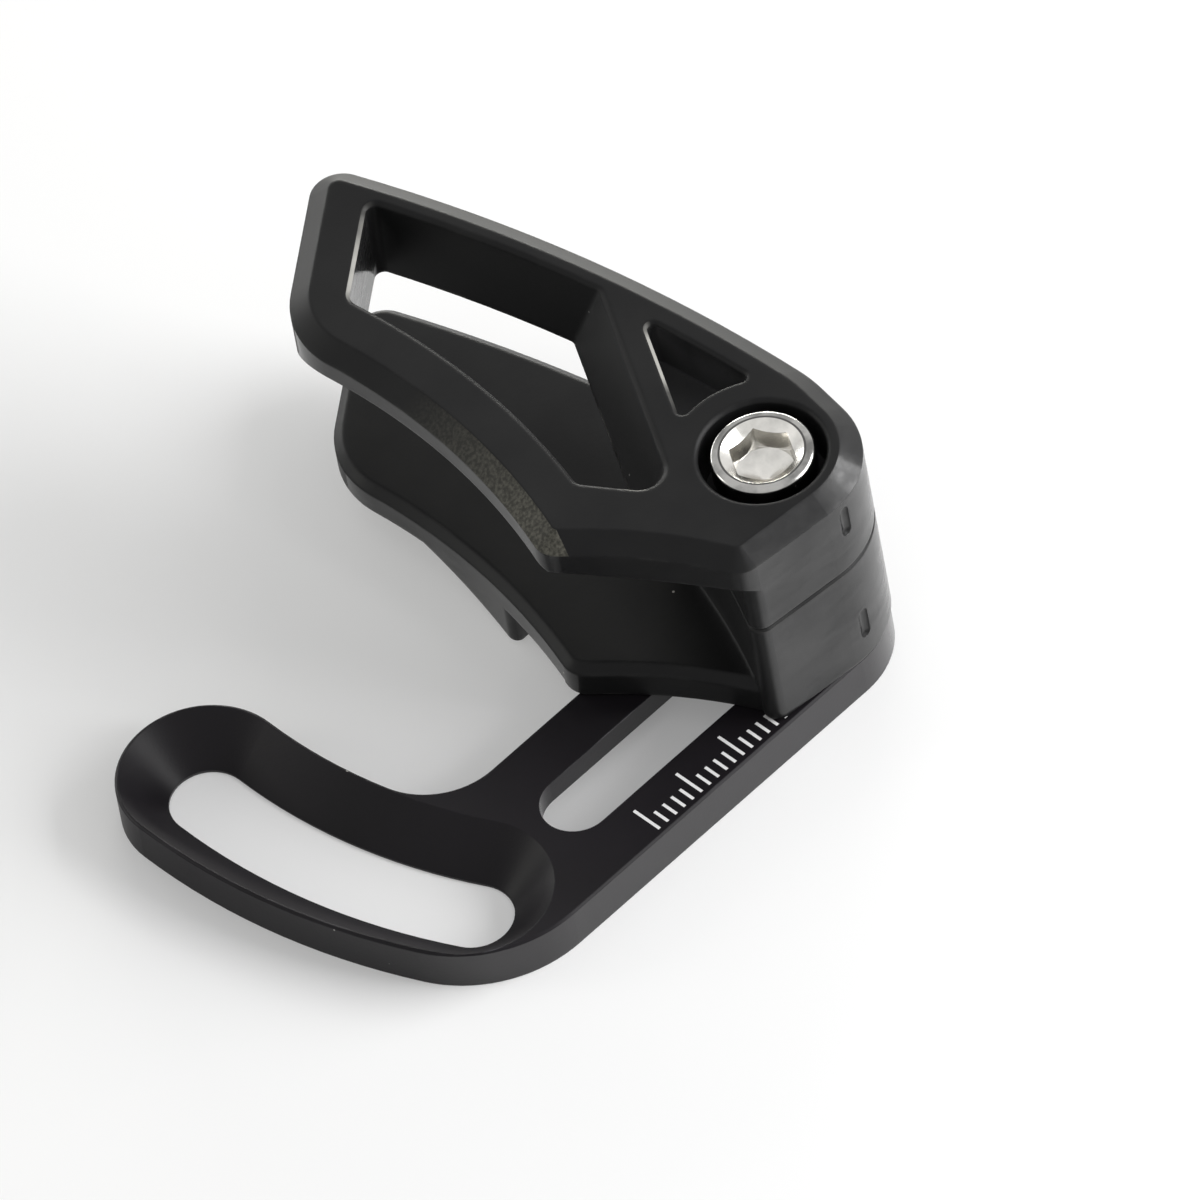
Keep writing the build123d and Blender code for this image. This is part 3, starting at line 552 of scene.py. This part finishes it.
# The chain-side bevel is grained towards its corner with the diagonal, and the grain fades along it
diagonal_corner = (0.0245, -0.0045, 0.0243)
grained_reach = 0.0639
grain_ends = 0.019
grain_full = 0.004
outer_place = outer_nodes.new("ShaderNodeTexCoord")
outer_facing = outer_nodes.new("ShaderNodeSeparateXYZ")
grained_bevel = outer_nodes.new("ShaderNodeMath")
grained_bevel.operation = "COMPARE"
grained_bevel.inputs[1].default_value = bevel_facing
grained_bevel.inputs[2].default_value = 0.07
grained_plan = outer_nodes.new("ShaderNodeVectorMath")
grained_plan.operation = "MULTIPLY"
grained_plan.inputs[1].default_value = (1, 1, 0)
grained_ring = outer_nodes.new("ShaderNodeVectorMath")
grained_ring.operation = "DISTANCE"
grained_ring.inputs[1].default_value = ring_axis
grained_side = outer_nodes.new("ShaderNodeMath")
grained_side.operation = "LESS_THAN"
grained_side.inputs[1].default_value = grained_reach
grained_corner = outer_nodes.new("ShaderNodeVectorMath")
grained_corner.operation = "DISTANCE"
grained_corner.inputs[1].default_value = diagonal_corner
grained_fade = outer_nodes.new("ShaderNodeMapRange")
grained_fade.inputs["From Min"].default_value = grain_ends
grained_fade.inputs["From Max"].default_value = grain_full
grained_face = outer_nodes.new("ShaderNodeMath")
grained_face.operation = "MULTIPLY"
grained_mask = outer_nodes.new("ShaderNodeMath")
grained_mask.operation = "MULTIPLY"
outer_links.new(outer_place.outputs["Normal"], outer_facing.inputs["Vector"])
outer_links.new(outer_facing.outputs["Z"], grained_bevel.inputs[0])
outer_links.new(outer_place.outputs["Object"], grained_plan.inputs[0])
outer_links.new(grained_plan.outputs["Vector"], grained_ring.inputs[0])
outer_links.new(grained_ring.outputs["Value"], grained_side.inputs[0])
outer_links.new(outer_place.outputs["Object"], grained_corner.inputs[0])
outer_links.new(grained_corner.outputs["Value"], grained_fade.inputs["Value"])
outer_links.new(grained_bevel.outputs["Value"], grained_face.inputs[0])
outer_links.new(grained_side.outputs["Value"], grained_face.inputs[1])
outer_links.new(grained_face.outputs["Value"], grained_mask.inputs[0])
outer_links.new(grained_fade.outputs["Result"], grained_mask.inputs[1])
outer_links.new(grained_mask.outputs["Value"], outer_skin.inputs["Grained"])

# Stretches of rim that the mould left pale: the window's end, the pocket's side and the strut's foot
rim_facing = 0.707
pale_edge = None
for spot, turn, half_length, half_width in (
    ((0.0360, 0.0280, 0.025), 0.59, 0.0058, 0.0014),
    ((0.0430, -0.0005, 0.025), 1.03, 0.0054, 0.0011),
    ((0.0336, -0.0080, 0.025), -0.46, 0.0026, 0.0014),
):
    pale_spot = outer_nodes.new("ShaderNodeMapping")
    pale_spot.vector_type = "TEXTURE"
    pale_spot.inputs["Location"].default_value = spot
    pale_spot.inputs["Rotation"].default_value = (0, 0, turn)
    pale_spot.inputs["Scale"].default_value = (half_length, half_width, 0.001)
    pale_reach = outer_nodes.new("ShaderNodeVectorMath")
    pale_reach.operation = "LENGTH"
    pale_fade = outer_nodes.new("ShaderNodeMapRange")
    pale_fade.inputs["From Min"].default_value = 1.0
    pale_fade.inputs["From Max"].default_value = 0.7
    outer_links.new(outer_place.outputs["Object"], pale_spot.inputs["Vector"])
    outer_links.new(pale_spot.outputs["Vector"], pale_reach.inputs[0])
    outer_links.new(pale_reach.outputs["Value"], pale_fade.inputs["Value"])
    if pale_edge is None:
        pale_edge = pale_fade.outputs["Result"]
    else:
        pale_more = outer_nodes.new("ShaderNodeMath")
        pale_more.operation = "MAXIMUM"
        outer_links.new(pale_edge, pale_more.inputs[0])
        outer_links.new(pale_fade.outputs["Result"], pale_more.inputs[1])
        pale_edge = pale_more.outputs["Value"]
pale_rim = outer_nodes.new("ShaderNodeMath")
pale_rim.operation = "COMPARE"
pale_rim.inputs[1].default_value = rim_facing
pale_rim.inputs[2].default_value = 0.06
outer_links.new(outer_facing.outputs["Z"], pale_rim.inputs[0])
pale_line = outer_nodes.new("ShaderNodeMath")
pale_line.operation = "MULTIPLY"
outer_links.new(pale_edge, pale_line.inputs[0])
outer_links.new(pale_rim.outputs["Value"], pale_line.inputs[1])
pale_breaks = outer_nodes.new("ShaderNodeMapRange")
pale_breaks.inputs["From Min"].default_value = 0.4
pale_breaks.inputs["From Max"].default_value = 0.62
pale_breaks.inputs["To Min"].default_value = 0.15
outer_links.new(outer_grain.outputs["Smudge"], pale_breaks.inputs["Value"])
pale_worn = outer_nodes.new("ShaderNodeMath")
pale_worn.operation = "MULTIPLY"
outer_links.new(pale_line.outputs["Value"], pale_worn.inputs[0])
outer_links.new(pale_breaks.outputs["Result"], pale_worn.inputs[1])
# Partly painted highlight on the convex edges, as on the inner half
outer_wear_and_highlight = outer_nodes.new("ShaderNodeMix")
outer_wear_and_highlight.data_type = "RGBA"
outer_wear_and_highlight.inputs["B"].default_value = nylon_wear_and_highlight
outer_links.new(outer_skin.outputs["Colour"], outer_wear_and_highlight.inputs["A"])
outer_links.new(outer_edge.outputs["Rubbed and highlit"], outer_wear_and_highlight.inputs["Factor"])
outer_pale = outer_nodes.new("ShaderNodeMix")
outer_pale.data_type = "RGBA"
outer_pale.inputs["B"].default_value = (0.30, 0.295, 0.275, 1)
outer_links.new(outer_wear_and_highlight.outputs["Result"], outer_pale.inputs["A"])
outer_links.new(pale_worn.outputs["Value"], outer_pale.inputs["Factor"])
outer_dusty = outer_nodes.new("ShaderNodeMix")
outer_dusty.data_type = "RGBA"
outer_dusty.inputs["B"].default_value = dust_colour
outer_links.new(outer_pale.outputs["Result"], outer_dusty.inputs["A"])
outer_links.new(outer_grain.outputs["Specks"], outer_dusty.inputs["Factor"])
outer_links.new(outer_dusty.outputs["Result"], outer_shader.inputs["Base Color"])
outer_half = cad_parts["outer_cage"]
outer_half.data.materials.clear()
outer_half.data.materials.append(outer_finish)


# Clamp bolt: an M5 socket head cap bolt in stainless steel, turned, polished on its head and sunk in
# the outer half's counterbore, with a hexagon socket that has a turned conical mouth.
bolt_axis = Vector((0.041815, -0.013229, 0))
bolt_top = Vector((0, 0, 0.025))
bolt_finish = bpy.data.materials.new("polished_stainless")
bolt_finish.use_nodes = True
bolt_nodes = bolt_finish.node_tree.nodes
bolt_links = bolt_finish.node_tree.links
bolt_shader = bolt_nodes["Principled BSDF"]
bolt_shader.inputs["Metallic"].default_value = 1.0
bolt_edge = bolt_nodes.new("ShaderNodeGroup")
bolt_edge.node_tree = edge_group
bolt_edge.inputs["Radius"].default_value = 0.00012
bolt_grain = bolt_nodes.new("ShaderNodeGroup")
bolt_grain.node_tree = grain_group
bolt_grain.inputs["Grain size"].default_value = 0.0003
bolt_grain.inputs["Smudge size"].default_value = 0.0025
# Partly painted light: the steel tone is set light so that the socket's walls come out lighter
steel_tone_and_socket_light = bolt_nodes.new("ShaderNodeValToRGB")
steel_tone_and_socket_light.color_ramp.elements[0].position = 0.35
steel_tone_and_socket_light.color_ramp.elements[0].color = (0.52, 0.51, 0.485, 1)
steel_tone_and_socket_light.color_ramp.elements[1].position = 0.65
steel_tone_and_socket_light.color_ramp.elements[1].color = (0.72, 0.705, 0.67, 1)
bolt_sheen = bolt_nodes.new("ShaderNodeMapRange")
bolt_sheen.inputs["To Min"].default_value = 0.1
bolt_sheen.inputs["To Max"].default_value = 0.26
bolt_place = bolt_nodes.new("ShaderNodeTexCoord")
bolt_centre = bolt_nodes.new("ShaderNodeMapping")
bolt_centre.inputs["Location"].default_value = -bolt_axis
bolt_rings = bolt_nodes.new("ShaderNodeTexWave")
bolt_rings.wave_type = "RINGS"
bolt_rings.rings_direction = "Z"
bolt_rings.inputs["Scale"].default_value = 1600.0
bolt_rings.inputs["Distortion"].default_value = 0.6
bolt_rings.inputs["Detail"].default_value = 2.0
bolt_bump = bolt_nodes.new("ShaderNodeBump")
bolt_bump.inputs["Strength"].default_value = 0.12
bolt_bump.inputs["Distance"].default_value = 0.00001
bolt_links.new(bolt_grain.outputs["Smudge"], steel_tone_and_socket_light.inputs["Fac"])

# Painted light and shade on the head: outside the mouth, the flat rim and the head's side are painted
# greyer than the mouth and socket, standing in for the darker reflection there, with a dark line painted
# between them
mouth_radius = 0.0035
rim_step = 0.0001
line_offset = 0.00008
line_half_width = 0.00009
rim_plan = bolt_nodes.new("ShaderNodeVectorMath")
rim_plan.operation = "MULTIPLY"
rim_plan.inputs[1].default_value = (1, 1, 0)
rim_radius = bolt_nodes.new("ShaderNodeVectorMath")
rim_radius.operation = "DISTANCE"
rim_radius.inputs[1].default_value = bolt_axis
rim_flat = bolt_nodes.new("ShaderNodeMapRange")
rim_flat.inputs["From Min"].default_value = mouth_radius
rim_flat.inputs["From Max"].default_value = mouth_radius + rim_step
rim_painted_shade = bolt_nodes.new("ShaderNodeValToRGB")
rim_painted_shade.color_ramp.elements[0].position = 0.38
rim_painted_shade.color_ramp.elements[0].color = (0.19, 0.188, 0.182, 1)
rim_painted_shade.color_ramp.elements[1].position = 0.62
rim_painted_shade.color_ramp.elements[1].color = (0.42, 0.415, 0.40, 1)
rim_line = bolt_nodes.new("ShaderNodeMath")
rim_line.operation = "COMPARE"
rim_line.inputs[1].default_value = mouth_radius + line_offset
rim_line.inputs[2].default_value = line_half_width
head_painted_light_and_shade = bolt_nodes.new("ShaderNodeMix")
head_painted_light_and_shade.data_type = "RGBA"
# A dark line painted round the mouth
rim_painted_line = bolt_nodes.new("ShaderNodeMix")
rim_painted_line.data_type = "RGBA"
rim_painted_line.inputs["B"].default_value = (0.10, 0.098, 0.095, 1)
bolt_links.new(bolt_place.outputs["Object"], rim_plan.inputs[0])
bolt_links.new(rim_plan.outputs["Vector"], rim_radius.inputs[0])
bolt_links.new(rim_radius.outputs["Value"], rim_flat.inputs["Value"])
bolt_links.new(bolt_grain.outputs["Smudge"], rim_painted_shade.inputs["Fac"])
bolt_links.new(rim_radius.outputs["Value"], rim_line.inputs[0])
bolt_links.new(rim_flat.outputs["Result"], head_painted_light_and_shade.inputs["Factor"])
bolt_links.new(steel_tone_and_socket_light.outputs["Color"], head_painted_light_and_shade.inputs["A"])
bolt_links.new(rim_painted_shade.outputs["Color"], head_painted_light_and_shade.inputs["B"])
bolt_links.new(rim_line.outputs["Value"], rim_painted_line.inputs["Factor"])
bolt_links.new(head_painted_light_and_shade.outputs["Result"], rim_painted_line.inputs["A"])
bolt_links.new(rim_painted_line.outputs["Result"], bolt_shader.inputs["Base Color"])
bolt_links.new(bolt_grain.outputs["Smudge"], bolt_sheen.inputs["Value"])
bolt_links.new(bolt_sheen.outputs["Result"], bolt_shader.inputs["Roughness"])
bolt_links.new(bolt_place.outputs["Object"], bolt_centre.inputs["Vector"])
bolt_links.new(bolt_centre.outputs["Vector"], bolt_rings.inputs["Vector"])
bolt_links.new(bolt_rings.outputs["Fac"], bolt_bump.inputs["Height"])
bolt_links.new(bolt_edge.outputs["Normal"], bolt_bump.inputs["Normal"])
bolt_links.new(bolt_bump.outputs["Normal"], bolt_shader.inputs["Normal"])
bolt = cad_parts["clamp_bolt"]
bolt.data.materials.clear()
bolt.data.materials.append(bolt_finish)


# Table and light: a plain white table, a white surround, a large soft lamp low on the right of the view
# that lights the boss's end, two low ones behind that draw the far edge and the end edge, and two small
# ones that glint in the countersink and on the bevel round the boss.
table_size = 40.0
table_drop = 0.00005
glow_share = 0.2
surround_light = 0.45
bpy.ops.object.select_all(action="DESELECT")
bpy.ops.mesh.primitive_plane_add(size=table_size, location=(0, 0, -table_drop))
table = bpy.context.active_object
table.name = "table"
table_finish = bpy.data.materials.new("white_table")
table_finish.use_nodes = True
table_nodes = table_finish.node_tree.nodes
table_links = table_finish.node_tree.links
table_shader = table_nodes["Principled BSDF"]
table_shader.inputs["Base Color"].default_value = (0.9, 0.9, 0.9, 1)
table_shader.inputs["Roughness"].default_value = 0.9
table_shader.inputs["Specular IOR Level"].default_value = 0.0
table_glow = table_nodes.new("ShaderNodeEmission")
table_glow.inputs["Color"].default_value = (1, 1, 1, 1)
table_glow.inputs["Strength"].default_value = 1.0
table_ray = table_nodes.new("ShaderNodeLightPath")
table_seen = table_nodes.new("ShaderNodeMath")
table_seen.operation = "ADD"
table_shown = table_nodes.new("ShaderNodeMath")
table_shown.operation = "ADD"
table_share = table_nodes.new("ShaderNodeMath")
table_share.operation = "MULTIPLY"
table_share.inputs[1].default_value = glow_share
table_mix = table_nodes.new("ShaderNodeMixShader")
table_links.new(table_ray.outputs["Is Camera Ray"], table_seen.inputs[0])
table_links.new(table_ray.outputs["Is Glossy Ray"], table_seen.inputs[1])
table_links.new(table_seen.outputs["Value"], table_shown.inputs[0])
table_links.new(table_ray.outputs["Is Transmission Ray"], table_shown.inputs[1])
table_links.new(table_shown.outputs["Value"], table_share.inputs[0])
table_links.new(table_share.outputs["Value"], table_mix.inputs["Fac"])
table_links.new(table_shader.outputs["BSDF"], table_mix.inputs[1])
table_links.new(table_glow.outputs["Emission"], table_mix.inputs[2])
table_links.new(table_mix.outputs["Shader"], table_nodes["Material Output"].inputs["Surface"])
table.data.materials.append(table_finish)

surround = bpy.data.worlds.new("white_surround")
bpy.context.scene.world = surround
surround.use_nodes = True
surround_nodes = surround.node_tree.nodes
surround_links = surround.node_tree.links
surround_ray = surround_nodes.new("ShaderNodeLightPath")
surround_seen = surround_nodes.new("ShaderNodeMath")
surround_seen.operation = "ADD"
surround_shown = surround_nodes.new("ShaderNodeMath")
surround_shown.operation = "ADD"
surround_shown.use_clamp = True
surround_level = surround_nodes.new("ShaderNodeMapRange")
surround_level.inputs["To Min"].default_value = surround_light
surround_level.inputs["To Max"].default_value = 1.0
surround_links.new(surround_ray.outputs["Is Camera Ray"], surround_seen.inputs[0])
surround_links.new(surround_ray.outputs["Is Glossy Ray"], surround_seen.inputs[1])
surround_links.new(surround_seen.outputs["Value"], surround_shown.inputs[0])
surround_links.new(surround_ray.outputs["Is Transmission Ray"], surround_shown.inputs[1])
surround_links.new(surround_shown.outputs["Value"], surround_level.inputs["Value"])
surround_nodes["Background"].inputs["Color"].default_value = (1, 1, 1, 1)
surround_links.new(surround_level.outputs["Result"], surround_nodes["Background"].inputs["Strength"])

# The view: image right, image up and towards the camera, as directions of the object's frame. The
# picture is 1200 pixels wide at 12.2 to the millimetre, and the bolt lies right of and above its middle.
view_right = Vector((0.6939, -0.7095, -0.1226)).normalized()
view_back = view_right.cross(Vector((0.6063, 0.4839, 0.6310))).normalized()
view_up = view_back.cross(view_right)
bolt_right_of_middle = 0.01328
bolt_above_middle = 0.01221
view_centre = bolt_axis + bolt_top - bolt_right_of_middle * view_right - bolt_above_middle * view_up
view_distance = 4.0
view_width = 1.2 / 12.2
sensor_width = 36.0

for name, place, width, height, power, colour in (
    ("softbox_right", Vector((0.38, -0.33, 0.20)), 0.48, 0.30, 5.0, (1.0, 1.0, 1.0)),
    ("softbox_back", Vector((0.36, 0.39, 0.03)), 0.30, 0.08, 1.9, (1.0, 0.995, 0.93)),
    ("softbox_end", Vector((0.02, 0.53, 0.03)), 0.30, 0.08, 0.8, (1.0, 1.0, 0.98)),
    ("softbox_left", Vector((-0.34, 0.38, 0.15)), 0.14, 0.14, 0.35, (1.0, 0.995, 0.93)),
    ("softbox_high", Vector((0.25, -0.285, 0.385)), 0.14, 0.14, 0.14, (1.0, 1.0, 1.0)),
):
    lamp = bpy.data.lights.new(name, "AREA")
    lamp.shape = "RECTANGLE"
    lamp.size = width
    lamp.size_y = height
    lamp.energy = power
    lamp.color = colour
    softbox = bpy.data.objects.new(name, lamp)
    bpy.context.scene.collection.objects.link(softbox)
    softbox.location = view_centre + place
    softbox.rotation_euler = place.to_track_quat("Z", "Y").to_euler()

camera_data = bpy.data.cameras.new("camera")
camera = bpy.data.objects.new("camera", camera_data)
bpy.context.scene.collection.objects.link(camera)
camera_data.sensor_width = sensor_width
camera_data.lens = sensor_width * view_distance / view_width
camera_data.clip_start = 0.01
camera.matrix_world = Matrix.Translation(view_centre + view_distance * view_back) @ Matrix(
    (view_right, view_up, view_back)
).transposed().to_4x4()
bpy.context.scene.camera = camera
